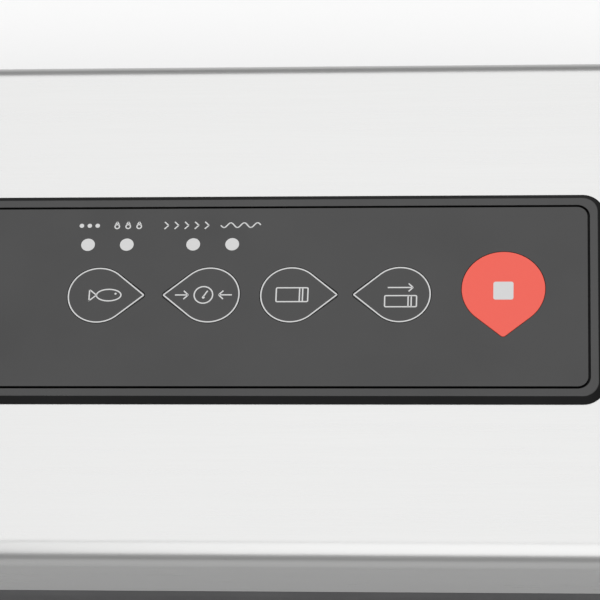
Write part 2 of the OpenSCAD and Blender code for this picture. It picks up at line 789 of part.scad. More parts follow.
module lid_frame() {
    color([0.15, 0.15, 0.16]) difference() {
        union() {
            block([-frame_x, -lid_y, lid_z], [frame_x, lid_y, lid_floor_z]);
            for (s = [-1, 1]) {
                block([-frame_x, min(s * lid_y, s * (frame_out - frame_wall)), lid_z],
                    [frame_x, max(s * lid_y, s * (frame_out - frame_wall)), skirt_z]);
                block([-frame_x, min(s * frame_out, s * (frame_out - frame_wall)), lid_z],
                    [frame_x, max(s * frame_out, s * (frame_out - frame_wall)), frame_top]);
                // ribs that carry the steel
                block([-frame_x, s * rib_y - 1, lid_z + 1],
                    [frame_x, s * rib_y + 1, top_z - sheet_t - 0.2]);
            }
            both_sides() {
                block([frame_x - frame_wall, -frame_out, lid_z], [frame_x, frame_out, frame_top]);
                rod_x(hinge_x - knuckle_w / 2, hinge_x + knuckle_w / 2, hinge_y, hinge_z, knuckle_r);
            }
        }
        both_sides() {
            for (s = [-1, 1]) {
                x = hinge_x + s * (ear_in + ear_out) / 2;
                rod_x(x - ear_t / 2 - run_gap, x + ear_t / 2 + run_gap, hinge_y, hinge_z,
                    knuckle_r + 0.5);
            }
            rod_x(hinge_x - ear_out - over, hinge_x + ear_out + over, hinge_y, hinge_z,
                pin_r + pin_play);
            for (s = [-1, 1])
                block([frame_x - frame_wall - over, s * clip_y - clip_w / 2, clip_z],
                    [frame_x + over, s * clip_y + clip_w / 2, clip_z + clip_h]);
            block([hook_x - slip, latch_y - hook_w / 2 - slip, lid_z - over],
                [hook_x + hook_t + slip, latch_y + hook_w / 2 + slip, lid_floor_z + over]);
            block([hook_x - hook_head - slip, latch_y - hook_w / 2 - hook_head - slip, lid_floor_z],
                [hook_x + hook_t + hook_head + slip, latch_y + hook_w / 2 + hook_head + slip,
                    top_z]);
        }
        translate([0, channel_y, lid_z - over]) linear_extrude(lid_groove_z - lid_z + over)
            rounded_ring(gasket_l + 2 * slip, gasket_d + 2 * slip, gasket_r + slip,
                gasket_w + 2 * slip);
        block([-heater_l / 2 - slip, heater_y - heater_w / 2 - slip, lid_z - over],
            [heater_l / 2 + slip, heater_y + heater_w / 2 + slip, lid_groove_z]);
        for (x = boss_x) translate([x, boss_y, lid_z - over]) {
            cylinder(h = 1.8 + over, r = 3.2);
            cylinder(h = lid_floor_t + 2 * over, r = 1.5);
        }
    }
}

// Tongue with a barb that points inwards and a head that rests on the lid frame's floor, drawn
// on the right-hand side
module lid_hook() {
    color([0.75, 0.73, 0.66]) {
        along_y(latch_y - hook_w / 2, latch_y + hook_w / 2)
            polygon([[hook_x, lid_floor_z], [hook_x, hook_z + barb_h],
                [hook_x - barb_w, hook_z + barb_h], [hook_x, hook_z],
                [hook_x + hook_t, hook_z], [hook_x + hook_t, lid_floor_z]]);
        block([hook_x - hook_head, latch_y - hook_w / 2 - hook_head, lid_floor_z],
            [hook_x + hook_t + hook_head, latch_y + hook_w / 2 + hook_head, lid_floor_z + hook_t]);
    }
}

module lid_cover() {
    color([0.78, 0.78, 0.78]) difference() {
        along_x(-frame_x, frame_x) difference() {
            lid_side_above(0, skirt_z);
            lid_side(sheet_t);
        }
        slab(panel_w - 2 * opening_in, panel_d - 2 * opening_in, 4, frame_top, top_z + over);
    }
}

// Drawn on the right-hand side
module end_cap() {
    color([0.14, 0.14, 0.15]) {
        difference() {
            intersection() {
                along_x(frame_x, lid_x) lid_side_above(0, lid_z);
                slab(lid_w, lid_d, lid_corner_r, 0, top_z + over);
            }
            intersection() {
                along_x(frame_x - over, lid_x - frame_wall)
                    lid_side_above(frame_wall, lid_z + frame_wall);
                slab(lid_w - 2 * frame_wall, lid_d - 2 * frame_wall, lid_corner_r - frame_wall,
                    0, top_z);
            }
        }
        for (s = [-1, 1])
            block([frame_x - 7, s * clip_y - clip_w / 2 + slip, clip_z + slip],
                [lid_x - frame_wall + 0.5, s * clip_y + clip_w / 2 - slip, clip_z + clip_h - slip]);
    }
}

module upper_gasket() {
    color([0.3, 0.3, 0.3]) translate([0, channel_y, seal_z + seal_gap])
        linear_extrude(lid_groove_z - seal_z - seal_gap)
            rounded_ring(gasket_l, gasket_d, gasket_r, gasket_w);
}

module sealing_pad() {
    color([0.5, 0.2, 0.16]) block([-heater_l / 2, heater_y - heater_w / 2, seal_z + seal_gap],
        [heater_l / 2, heater_y + heater_w / 2, lid_groove_z]);
}

module lid_screws() {
    color([0.6, 0.6, 0.62]) for (x = boss_x)
        translate([x, boss_y, 0]) screw(lid_z + 1.8, 2.8, 1.5, 1.5, 12);
}

// Flat-topped frame with a 45 degree slope round it
module sloped_slab(w, d, r, slope, z0, z1) {
    h = z1 - z0;
    slab(w - 2 * slope, d - 2 * slope, r - slope, z0, z1);
    for (x = [-1, 1], y = [-1, 1]) translate([x * (w / 2 - r), y * (d / 2 - r), z0])
        cylinder(h = h, r1 = r, r2 = r - slope);
    along_x(r - w / 2, w / 2 - r) polygon([[-d / 2, z0], [d / 2, z0],
        [d / 2 - slope, z1], [slope - d / 2, z1]]);
    along_y(r - d / 2, d / 2 - r) polygon([[-w / 2, z0], [w / 2, z0],
        [w / 2 - slope, z1], [slope - w / 2, z1]]);
}

module panel_bezel() {
    skirt_x = panel_w / 2 - opening_in - run_gap;
    skirt_y = panel_d / 2 - opening_in - run_gap;
    color([0.33, 0.33, 0.34]) {
        difference() {
            union() {
                sloped_slab(panel_w, panel_d, panel_corner_r, slope_w, top_z, panel_z);
                slab(2 * skirt_x, 2 * skirt_y, 3.7, top_z - skirt_depth, top_z + 0.2);
                for (x = boss_x) translate([x, boss_y, lid_floor_z])
                    cylinder(h = fascia_z - lid_floor_z, r = boss_r);
            }
            slab(2 * rim_in_x, 2 * rim_in_y, rim_in_r, fascia_z, panel_z + over);
            difference() {
                slab(2 * (rim_in_x - ledge_w), 2 * (rim_in_y - ledge_w), rim_in_r - ledge_w,
                    top_z - skirt_depth - over, fascia_z + over);
                for (x = boss_x) translate([x, boss_y, 0]) cylinder(h = panel_z, r = boss_r);
            }
            for (x = boss_x) translate([x, boss_y, lid_floor_z - over])
                cylinder(h = 12 + over, r = 1.5);
        }
        // lugs that catch under the front edge of the steel
        for (x = lug_x) block([x - 6, -skirt_y - 1.3, top_z - sheet_t - 1.6],
            [x + 6, 0.5 - skirt_y, top_z - sheet_t - 0.2]);
    }
}

module panel_fascia() {
    color([0.33, 0.33, 0.34]) {
        difference() {
            slab(2 * fascia_x, 2 * fascia_y, fascia_r, fascia_z, panel_z);
            key_hole(food_at, 0, key_r, small_tip);
            key_hole(pressure_at, 180, key_r, small_tip);
            key_hole(seal_at, 0, key_r, small_tip);
            key_hole(vacuum_at, 180, key_r, small_tip);
            key_hole(stop_at, -90, stop_r, stop_tip);
            for (x = lights_x) translate([x, lights_y, fascia_z - over])
                cylinder(h = fascia_t + 2 * over, r = light_d / 2);
        }
        for (p = post_xy) translate([p[0], p[1], board_z + board_t]) difference() {
            cylinder(h = fascia_z - board_z - board_t + 0.2, r = post_r);
            translate([0, 0, -over]) cylinder(h = 6 + over, r = 1);
        }
    }
}

module key_hole(at, turn, r, tip) {
    place_key([at[0], at[1], fascia_z - over], turn)
        linear_extrude(fascia_t + 2 * over) teardrop(r, tip, key_gap);
}

module place_key(at, turn) {
    translate(at) rotate(turn) children();
}

module light_pipes() {
    color([0.85, 0.85, 0.84]) for (x = lights_x) translate([x, lights_y, 0]) {
        translate([0, 0, fascia_z - 4]) cylinder(h = fascia_t + 4, r = light_d / 2);
        translate([0, 0, fascia_z - 1]) cylinder(h = 1, r = light_d / 2 + 1);
    }
}

module key_cap(at, turn, r, tip) {
    place_key([at[0], at[1], 0], turn) {
        translate([0, 0, cap_flange_z - 1])
            linear_extrude(panel_z - cap_flange_z + 1) teardrop(r, tip, 0);
        translate([0, 0, cap_flange_z - 1]) linear_extrude(1) teardrop(r, tip, cap_flange);
        translate([0, 0, stem_z]) cylinder(h = cap_flange_z - stem_z, r = stem_r);
    }
}

module control_board() {
    color([0.1, 0.35, 0.2]) difference() {
        block([pcb_x0, -pcb_y, board_z], [pcb_x1, pcb_y, board_z + board_t]);
        for (p = post_xy) translate([p[0], p[1], board_z - over]) cylinder(h = 5, r = 1);
    }
}

module small_key(at, turn) {
    color([0.33, 0.33, 0.34]) key_cap(at, turn, key_r, small_tip);
}

module stop_key() {
    color([0.9, 0.35, 0.3]) key_cap(stop_at, -90, stop_r, stop_tip);
}

module key_switches() {
    z = board_z + board_t;
    color([0.2, 0.2, 0.2]) for (p = [food_at, pressure_at, seal_at, vacuum_at, stop_at])
        translate([p[0], p[1], z]) {
            translate([-switch_w / 2, -switch_w / 2, 0]) cube([switch_w, switch_w, switch_h]);
            cylinder(h = plunger_top - z, r = plunger_r);
        }
}

module status_leds() {
    z = board_z + board_t;
    color([0.9, 0.9, 0.8]) for (x = lights_x) translate([x, lights_y, z]) {
        cylinder(h = 3, r = 1.5);
        translate([0, 0, 3]) sphere(1.5);
    }
}

module board_screws() {
    color([0.6, 0.6, 0.62]) for (p = post_xy)
        translate([p[0], p[1], 0]) screw(board_z, 2, 1.2, 1, 6);
}

base_housing();
channel_tub();
bottom_cover();
foot(0);  // front_left_foot
foot(1);  // front_right_foot
foot(2);  // rear_left_foot
foot(3);  // rear_right_foot
base_screws();
heater_carrier();
heater_strip();
release_tape();
lower_gasket();
drip_tray();
pump_motor();
pump_rotor();
pump_head();
pump_diaphragm();
pump_valve_cap();
pump_cradle();
channel_nozzles();
hose(hose_x[0]);  // pump_hose
hose(hose_x[1]);  // vent_hose
hose(hose_x[2]);  // switch_hose
vent_valve();
vacuum_switch();
transformer_core();
transformer_winding();
power_board();
power_relay();
smoothing_capacitor();
mains_inlet();
inlet_pins();
hinge_pins();
mirror([1, 0, 0]) latch_slider();  // left_latch_slider
latch_slider();  // right_latch_slider
mirror([1, 0, 0]) release_button();  // left_release_button
release_button();  // right_release_button
mirror([1, 0, 0]) latch_spring();  // left_latch_spring
latch_spring();  // right_latch_spring
lid_frame();
mirror([1, 0, 0]) lid_hook();  // left_lid_hook
lid_hook();  // right_lid_hook
lid_cover();
mirror([1, 0, 0]) end_cap();  // left_end_cap
end_cap();  // right_end_cap
upper_gasket();
sealing_pad();
lid_screws();
panel_bezel();
panel_fascia();
light_pipes();
control_board();
key_switches();
status_leds();
board_screws();
small_key(food_at, 0);  // food_key
small_key(pressure_at, 180);  // pressure_key
small_key(seal_at, 0);  // seal_key
small_key(vacuum_at, 180);  // vacuum_key
stop_key();
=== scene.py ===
# A kitchen bag vacuum sealer, put together from the feet up to the key panel.
import math

import bmesh
import bpy
from mathutils import Matrix, Vector


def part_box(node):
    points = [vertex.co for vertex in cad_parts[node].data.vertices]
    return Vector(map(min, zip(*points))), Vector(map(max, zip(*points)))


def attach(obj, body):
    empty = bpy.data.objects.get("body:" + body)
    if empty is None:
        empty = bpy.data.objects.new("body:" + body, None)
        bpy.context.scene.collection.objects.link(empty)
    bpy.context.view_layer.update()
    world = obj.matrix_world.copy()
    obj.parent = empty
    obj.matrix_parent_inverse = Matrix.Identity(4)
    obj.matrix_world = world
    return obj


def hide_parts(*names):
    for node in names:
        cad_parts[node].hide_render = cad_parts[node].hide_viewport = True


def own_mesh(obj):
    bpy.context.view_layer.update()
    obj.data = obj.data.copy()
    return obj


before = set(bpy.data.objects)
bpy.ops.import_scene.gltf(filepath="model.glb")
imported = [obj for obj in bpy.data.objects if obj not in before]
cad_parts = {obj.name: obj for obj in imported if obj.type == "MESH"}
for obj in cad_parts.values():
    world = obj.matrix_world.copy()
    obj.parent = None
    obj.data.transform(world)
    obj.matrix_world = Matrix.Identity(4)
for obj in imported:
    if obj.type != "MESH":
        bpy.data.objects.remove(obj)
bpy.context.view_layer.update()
mm = 0.001

# ---- Camera ----
# It looks down on the right-hand part of the key panel from in front, through a long
# lens, and is tipped a little to one side.
panel_low, panel_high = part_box("panel_bezel")
elevation = math.radians(62.54)
swing = math.radians(10.95)
roll = math.radians(9.86)
distance = 0.969
aim = Vector((panel_high.x - 97.1 * mm, (panel_low.y + panel_high.y) / 2 - 1.5 * mm,
              panel_high.z))
back = Vector((math.sin(swing) * math.cos(elevation), -math.cos(swing) * math.cos(elevation),
               math.sin(elevation)))
right = Vector((math.cos(swing), math.sin(swing), 0))
up = back.cross(right)
camera_data = bpy.data.cameras.new("camera")
camera_data.lens = 181.8
camera_data.sensor_width = 36
camera_data.clip_start = 0.01
camera = bpy.data.objects.new("camera", camera_data)
turned = Matrix((math.cos(roll) * right - math.sin(roll) * up,
                 math.sin(roll) * right + math.cos(roll) * up, back)).transposed()
camera.matrix_world = Matrix.Translation(aim + back * distance) @ turned.to_4x4()
bpy.context.scene.collection.objects.link(camera)
bpy.context.scene.camera = camera
bpy.context.scene.view_settings.view_transform = "Standard"

# ---- Worktop and studio ----
# A plain pale worktop in a white studio, with a large soft box above and behind the
# sealer and a smaller one above its front.
bm = bmesh.new()
bmesh.ops.create_grid(bm, x_segments=2, y_segments=2, size=4)
worktop_mesh = bpy.data.meshes.new("worktop")
bm.to_mesh(worktop_mesh)
bm.free()
worktop = bpy.data.objects.new("worktop", worktop_mesh)
bpy.context.scene.collection.objects.link(worktop)
worktop_paint = bpy.data.materials.new("worktop paint")
worktop_paint.use_nodes = True
worktop_shader = worktop_paint.node_tree.nodes["Principled BSDF"]
worktop_shader.inputs["Base Color"].default_value = (0.78, 0.78, 0.78, 1)
worktop_shader.inputs["Roughness"].default_value = 0.8
worktop_shader.inputs["Specular IOR Level"].default_value = 0.2
worktop_mesh.materials.append(worktop_paint)

studio = bpy.data.worlds.new("studio")
studio.use_nodes = True
sky = studio.node_tree.nodes["Background"]
sky.inputs["Color"].default_value = (1, 1, 1, 1)
sky.inputs["Strength"].default_value = 0.6
bpy.context.scene.world = studio

lamp_distance = 1.5
for name, tilt, turn, width, depth, radiance in (
        ("back soft box", -29, 0, 1.9, 1.6, 5.6),
        ("front soft box", 32, 6, 1.1, 1.75, 6.6)):
    lamp_data = bpy.data.lights.new(name, "AREA")
    lamp_data.shape = "RECTANGLE"
    lamp_data.size = width
    lamp_data.size_y = depth
    lamp_data.energy = radiance * width * depth
    lamp = bpy.data.objects.new(name, lamp_data)
    tilt = math.radians(tilt)
    turn = math.radians(turn)
    lamp.location = aim + lamp_distance * Vector((math.sin(turn) * math.sin(tilt),
                                                  -math.cos(turn) * math.sin(tilt),
                                                  math.cos(tilt)))
    lamp.rotation_euler = (aim - lamp.location).to_track_quat("-Z", "Y").to_euler()
    bpy.context.scene.collection.objects.link(lamp)


# ---- Base housing, channel tub and bottom cover ----
# Black ABS mouldings with a fine spark-eroded grain and softly rounded edges. The tub is
# welded into the deck, and the cover is screwed on from below.
def new_group(name, inputs, outputs):
    """An empty node group with float inputs and outputs, and its two end nodes."""
    group = bpy.data.node_groups.new(name, "ShaderNodeTree")
    for label in inputs:
        group.interface.new_socket(label, in_out="INPUT", socket_type="NodeSocketFloat")
    for label in outputs:
        group.interface.new_socket(label, in_out="OUTPUT", socket_type="NodeSocketFloat")
    return group, group.nodes.new("NodeGroupInput"), group.nodes.new("NodeGroupOutput")


def noise(nodes, link, vector, scale, detail):
    """A noise texture on a vector socket; scale is a number or a socket."""
    made = nodes.new("ShaderNodeTexNoise")
    made.inputs["Detail"].default_value = detail
    if isinstance(scale, bpy.types.NodeSocket):
        link(scale, made.inputs["Scale"])
    else:
        made.inputs["Scale"].default_value = scale
    link(vector, made.inputs["Vector"])
    return made.outputs["Fac"]


def ranged(nodes, link, value, low, high, start=0.3, end=0.7):
    """Maps a value from start..end to low..high; low and high are numbers or sockets."""
    made = nodes.new("ShaderNodeMapRange")
    made.inputs["From Min"].default_value = start
    made.inputs["From Max"].default_value = end
    for name, limit in (("To Min", low), ("To Max", high)):
        if isinstance(limit, bpy.types.NodeSocket):
            link(limit, made.inputs[name])
        else:
            made.inputs[name].default_value = limit
    link(value, made.inputs["Value"])
    return made.outputs["Result"]


def grain_group():
    """Fine grain over slow clouds, which shift the colour and the roughness."""
    group, given, out = new_group("moulded grain", ["Grains", "Low", "High"],
                                  ["Cloud", "Roughness", "Height"])
    link = group.links.new
    place = group.nodes.new("ShaderNodeTexCoord").outputs["Object"]
    cloud = noise(group.nodes, link, place, 35, 4)
    fine = noise(group.nodes, link, place, given.outputs["Grains"], 3)
    link(cloud, out.inputs["Cloud"])
    link(ranged(group.nodes, link, cloud, given.outputs["Low"], given.outputs["High"]),
         out.inputs["Roughness"])
    link(fine, out.inputs["Height"])
    return group


moulded_grain = grain_group()


def edge_lightening_group():
    """A mask that is 1 on edges and 0 on flat faces, in patches: for edges rubbed pale, and for
    a painted highlight on the bezel rim.
    """
    group, given, out = new_group("rubbed and highlit edges", ["Width", "Amount"], ["Wear"])
    link = group.links.new
    soft = group.nodes.new("ShaderNodeBevel")
    soft.samples = 4
    plain = group.nodes.new("ShaderNodeNewGeometry")
    dot = group.nodes.new("ShaderNodeVectorMath")
    dot.operation = "DOT_PRODUCT"
    place = group.nodes.new("ShaderNodeTexCoord").outputs["Object"]
    patch = ranged(group.nodes, link, noise(group.nodes, link, place, 160, 5), 0, 1, 0.4, 0.65)
    edge = ranged(group.nodes, link, dot.outputs["Value"], 1, 0, 0.8, 0.99)
    both = group.nodes.new("ShaderNodeMath")
    both.operation = "MULTIPLY"
    last = group.nodes.new("ShaderNodeMath")
    last.operation = "MULTIPLY"
    link(given.outputs["Width"], soft.inputs["Radius"])
    link(soft.outputs["Normal"], dot.inputs[0])
    link(plain.outputs["Normal"], dot.inputs[1])
    link(edge, both.inputs[0])
    link(patch, both.inputs[1])
    link(both.outputs["Value"], last.inputs[0])
    link(given.outputs["Amount"], last.inputs[1])
    link(last.outputs["Value"], out.inputs["Wear"])
    return group


rubbed_and_highlit_edges = edge_lightening_group()


def new_material(name):
    """An empty material, its nodes, its link call and its shader."""
    mat = bpy.data.materials.new(name)
    mat.use_nodes = True
    nodes = mat.node_tree.nodes
    return mat, nodes, mat.node_tree.links.new, nodes["Principled BSDF"]


def two_tones(nodes, link, factor, first, second):
    """A colour that goes from the first to the second as the factor rises."""
    shade = nodes.new("ShaderNodeMixRGB")
    shade.inputs["Color1"].default_value = (*first, 1)
    shade.inputs["Color2"].default_value = (*second, 1)
    link(factor, shade.inputs["Fac"])
    return shade.outputs["Color"]


def shades(colour, down, up):
    """A darker and a lighter shade of one colour."""
    return [c * down for c in colour], [min(1, c * up) for c in colour]


def relief(nodes, link, shader, height, strength, depth):
    """Raises the surface by a bump of so many millimetres."""
    bump = nodes.new("ShaderNodeBump")
    bump.inputs["Strength"].default_value = strength
    bump.inputs["Distance"].default_value = depth * mm
    link(height, bump.inputs["Height"])
    link(bump.outputs["Normal"], shader.inputs["Normal"])


def plastic(name, colour, rough, grains=2500, depth=0.02, spread=0.1, specular=0.45,
            wear_and_highlight=0.0):
    """Moulded plastic or rubber: two near shades of one colour under a fine grain."""
    mat, nodes, link, shader = new_material(name)
    shader.inputs["Specular IOR Level"].default_value = specular
    grain = nodes.new("ShaderNodeGroup")
    grain.node_tree = moulded_grain
    grain.inputs["Grains"].default_value = grains
    grain.inputs["Low"].default_value = rough - 0.05
    grain.inputs["High"].default_value = rough + 0.05
    tint = two_tones(nodes, link, grain.outputs["Cloud"],
                     *shades(colour, 1 - spread, 1 + spread))
    # Edges are lightened through the edge mask: rubbed pale on most mouldings, a painted
    # highlight on the bezel rim.
    if wear_and_highlight:
        edge_mask = nodes.new("ShaderNodeGroup")
        edge_mask.node_tree = rubbed_and_highlit_edges
        edge_mask.inputs["Width"].default_value = 0.6 * mm
        edge_mask.inputs["Amount"].default_value = wear_and_highlight
        lightened_edges = nodes.new("ShaderNodeMixRGB")
        lightened_edges.inputs["Color2"].default_value = (*[min(1, c * 1.8 + 0.02) for c in colour], 1)
        link(edge_mask.outputs["Wear"], lightened_edges.inputs["Fac"])
        link(tint, lightened_edges.inputs["Color1"])
        tint = lightened_edges.outputs["Color"]
    link(tint, shader.inputs["Base Color"])
    link(grain.outputs["Roughness"], shader.inputs["Roughness"])
    relief(nodes, link, shader, grain.outputs["Height"], 0.4, depth)
    return mat


def add_piece(bm, name, body, mat, angle=35):
    """Turns a finished bmesh into a piece that rides on a body."""
    bmesh.ops.recalc_face_normals(bm, faces=bm.faces)
    mesh = bpy.data.meshes.new(name)
    bm.to_mesh(mesh)
    bm.free()
    mesh.shade_smooth()
    mesh.set_sharp_from_angle(angle=math.radians(angle))
    mesh.materials.append(mat)
    piece = bpy.data.objects.new(name, mesh)
    bpy.context.scene.collection.objects.link(piece)
    flat_faces = piece.modifiers.new("flat faces stay flat", "WEIGHTED_NORMAL")
    flat_faces.keep_sharp = True
    flat_faces.weight = 100
    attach(piece, body)
    return piece


def softened(node, body, mat, radius=0.4, segments=2):
    """Stands for a node with a merged copy whose sharp edges are rounded."""
    bm = bmesh.new()
    bm.from_mesh(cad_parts[node].data)
    bmesh.ops.remove_doubles(bm, verts=bm.verts, dist=0.001 * mm)
    bmesh.ops.dissolve_limit(bm, angle_limit=math.radians(0.5), verts=bm.verts,
                             edges=bm.edges)
    sharp = [e for e in bm.edges if e.is_manifold and e.calc_face_angle() > math.radians(40)]
    bmesh.ops.bevel(bm, geom=sharp, affect="EDGES", offset=radius * mm, segments=segments,
                    profile=0.5, material=-1, clamp_overlap=True)
    piece = add_piece(bm, node + "_shape", body, mat)
    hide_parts(node)
    return piece


def finish(nodes, mat):
    """Gives carried-over nodes their finish."""
    for node in nodes:
        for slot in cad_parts[node].material_slots:
            slot.material = mat


black_abs = plastic("black moulded shell", (0.022, 0.022, 0.024), 0.48, 1800, 0.05, wear_and_highlight=0.35)
softened("base_housing", "base", black_abs, 0.5)
softened("bottom_cover", "base", black_abs, 0.4)
finish(["channel_tub"], black_abs)

# ---- Feet and screws ----
# Four moulded rubber feet pushed into the bottom cover. The screws and the hinge pins
# are zinc-plated steel.
rubber = plastic("black rubber", (0.018, 0.018, 0.018), 0.75, 900, 0.08, 0.25, 0.3)
for foot in ("front_left_foot", "front_right_foot", "rear_left_foot", "rear_right_foot"):
    softened(foot, "base", rubber, 0.8, 3)


def brushed_group():
    """Long fine scratches that run along X, with broader bands between them."""
    group, given, out = new_group("brushed lines", ["Stretch", "Lines", "Low", "High"],
                                  ["Streak", "Roughness", "Height"])
    link = group.links.new
    place = group.nodes.new("ShaderNodeTexCoord").outputs["Object"]
    fine_scale = group.nodes.new("ShaderNodeCombineXYZ")
    link(given.outputs["Stretch"], fine_scale.inputs["X"])
    link(given.outputs["Lines"], fine_scale.inputs["Y"])
    link(given.outputs["Lines"], fine_scale.inputs["Z"])
    stretched = group.nodes.new("ShaderNodeVectorMath")
    stretched.operation = "MULTIPLY"
    link(place, stretched.inputs[0])
    link(fine_scale.outputs["Vector"], stretched.inputs[1])
    fine = noise(group.nodes, link, stretched.outputs["Vector"], 1, 4)
    coarse = noise(group.nodes, link, stretched.outputs["Vector"], 0.12, 3)
    both = group.nodes.new("ShaderNodeMath")
    both.operation = "ADD"
    link(fine, both.inputs[0])
    link(coarse, both.inputs[1])
    streak = ranged(group.nodes, link, both.outputs["Value"], 0, 1, 0.7, 1.3)
    link(streak, out.inputs["Streak"])
    link(ranged(group.nodes, link, both.outputs["Value"], given.outputs["Low"],
                given.outputs["High"], 0.7, 1.3), out.inputs["Roughness"])
    link(fine, out.inputs["Height"])
    return group


brushed_lines = brushed_group()


def metal(name, colour, low, high, stretch=14, lines=2600, depth=0.01, spread=0.07):
    """Brushed, rolled or plated metal."""
    mat, nodes, link, shader = new_material(name)
    shader.inputs["Metallic"].default_value = 1
    brush = nodes.new("ShaderNodeGroup")
    brush.node_tree = brushed_lines
    brush.inputs["Stretch"].default_value = stretch
    brush.inputs["Lines"].default_value = lines
    brush.inputs["Low"].default_value = low
    brush.inputs["High"].default_value = high
    link(two_tones(nodes, link, brush.outputs["Streak"],
                   *shades(colour, 1 - spread, 1 + spread)), shader.inputs["Base Color"])
    link(brush.outputs["Roughness"], shader.inputs["Roughness"])
    relief(nodes, link, shader, brush.outputs["Height"], 0.3, depth)
    return mat


screw_steel = metal("zinc-plated steel", (0.55, 0.55, 0.56), 0.25, 0.4, 900, 900, 0.01)
finish(["base_screws", "lid_screws", "board_screws", "hinge_pins"], screw_steel)

# ---- Heater bar ----
# A bar of dark phenolic laminate with a nickel-chrome ribbon on it, under a woven glass
# tape with a brown non-stick coat.
phenolic = plastic("phenolic laminate", (0.05, 0.035, 0.026), 0.55, 700, 0.02, 0.3)
softened("heater_carrier", "base", phenolic, 0.3)
finish(["heater_strip"], metal("nickel-chrome ribbon", (0.6, 0.58, 0.55), 0.2, 0.35))


def woven(name, light, dark, pitch):
    """Cloth whose threads cross along X and Y, one every pitch."""
    mat, nodes, link, shader = new_material(name)
    shader.inputs["Roughness"].default_value = 0.42
    place = nodes.new("ShaderNodeTexCoord").outputs["Object"]
    threads = []
    for direction in ("X", "Y"):
        wave = nodes.new("ShaderNodeTexWave")
        wave.bands_direction = direction
        wave.inputs["Scale"].default_value = math.pi / (10 * pitch)
        wave.inputs["Distortion"].default_value = 0.3
        link(place, wave.inputs["Vector"])
        threads.append(wave.outputs["Fac"])
    both = nodes.new("ShaderNodeMath")
    both.operation = "MULTIPLY"
    link(threads[0], both.inputs[0])
    link(threads[1], both.inputs[1])
    weave = both.outputs["Value"]
    link(two_tones(nodes, link, weave, dark, light), shader.inputs["Base Color"])
    relief(nodes, link, shader, weave, 0.5, 0.05)
    return mat


finish(["release_tape"], woven("coated glass tape", (0.42, 0.25, 0.12), (0.22, 0.12, 0.05),
                               0.8 * mm))



# ---- Seals and drip tray ----
# A closed-cell foam ring in a groove round the channel, and a smooth grey polypropylene
# tray that lifts out of it.
def foam_material(name, colour, cell):
    """Rubber foam with cells of one size."""
    mat, nodes, link, shader = new_material(name)
    shader.inputs["Roughness"].default_value = 0.85
    shader.inputs["Specular IOR Level"].default_value = 0.25
    place = nodes.new("ShaderNodeTexCoord").outputs["Object"]
    cells = nodes.new("ShaderNodeTexVoronoi")
    cells.inputs["Scale"].default_value = 1 / cell
    link(place, cells.inputs["Vector"])
    away = cells.outputs["Distance"]
    link(two_tones(nodes, link, away, *shades(colour, 0.6, 1.3)), shader.inputs["Base Color"])
    relief(nodes, link, shader, away, 0.6, 0.15)
    return mat


foam = foam_material("closed-cell foam", (0.05, 0.05, 0.052), 0.5 * mm)
softened("lower_gasket", "base", foam, 0.8, 3)
tray_plastic = plastic("tray polypropylene", (0.35, 0.36, 0.37), 0.25, 500, 0.01, 0.05)
softened("drip_tray", "base", tray_plastic, 0.35)

# ---- Vacuum pump ----
# A small DC motor in a zinc-plated can drives a diaphragm pump: black nylon head and
# valve cap, rubber diaphragm and cradle.
finish(["pump_motor"], metal("zinc-plated can", (0.6, 0.6, 0.62), 0.28, 0.42, 300, 900))
finish(["pump_rotor"], metal("ground rotor steel", (0.45, 0.4, 0.35), 0.3, 0.45, 600, 600))
black_nylon = plastic("black nylon", (0.028, 0.028, 0.03), 0.42, 1400, 0.03)
softened("pump_head", "base", black_nylon, 0.6)
softened("pump_valve_cap", "base", black_nylon, 0.6)
finish(["pump_diaphragm", "pump_cradle"], rubber)

# ---- Hoses, vent valve and vacuum switch ----
# Milky silicone hoses on natural nylon barbs. The vent valve is blue nylon, and the
# vacuum switch is natural nylon.
natural_nylon = plastic("natural nylon", (0.72, 0.7, 0.62), 0.4, 1400, 0.02, 0.04)
silicone = plastic("milky silicone", (0.75, 0.75, 0.71), 0.35, 900, 0.01, 0.04)
silicone.node_tree.nodes["Principled BSDF"].inputs["Subsurface Weight"].default_value = 0.3
blue_nylon = plastic("blue nylon", (0.04, 0.11, 0.3), 0.4, 1400, 0.02)
finish(["channel_nozzles"], natural_nylon)
finish(["pump_hose", "vent_hose", "switch_hose"], silicone)
softened("vent_valve", "base", blue_nylon, 0.6)
softened("vacuum_switch", "base", natural_nylon, 0.6)


# ---- Transformer ----
# Varnished steel laminations stacked across the machine, round an enamelled copper
# winding.
def layered(name, light, dark, pitch, direction, metallic, rough):
    """Sheets or wires side by side, one every pitch."""
    mat, nodes, link, shader = new_material(name)
    shader.inputs["Metallic"].default_value = metallic
    shader.inputs["Roughness"].default_value = rough
    place = nodes.new("ShaderNodeTexCoord").outputs["Object"]
    wave = nodes.new("ShaderNodeTexWave")
    wave.bands_direction = direction
    wave.inputs["Scale"].default_value = math.pi / (10 * pitch)
    wave.inputs["Distortion"].default_value = 0.15
    link(place, wave.inputs["Vector"])
    layers = wave.outputs["Fac"]
    link(two_tones(nodes, link, layers, dark, light), shader.inputs["Base Color"])
    relief(nodes, link, shader, layers, 0.6, 0.1)
    return mat


core_steel = layered("varnished laminations", (0.2, 0.2, 0.21), (0.05, 0.05, 0.055),
                     1.2 * mm, "Y", 0.6, 0.45)
softened("transformer_core", "base", core_steel, 0.2, 1)
copper = layered("enamelled copper wire", (0.75, 0.36, 0.14), (0.3, 0.12, 0.04), 0.9 * mm,
                 "Z", 0.9, 0.3)
softened("transformer_winding", "base", copper, 2.2, 4)


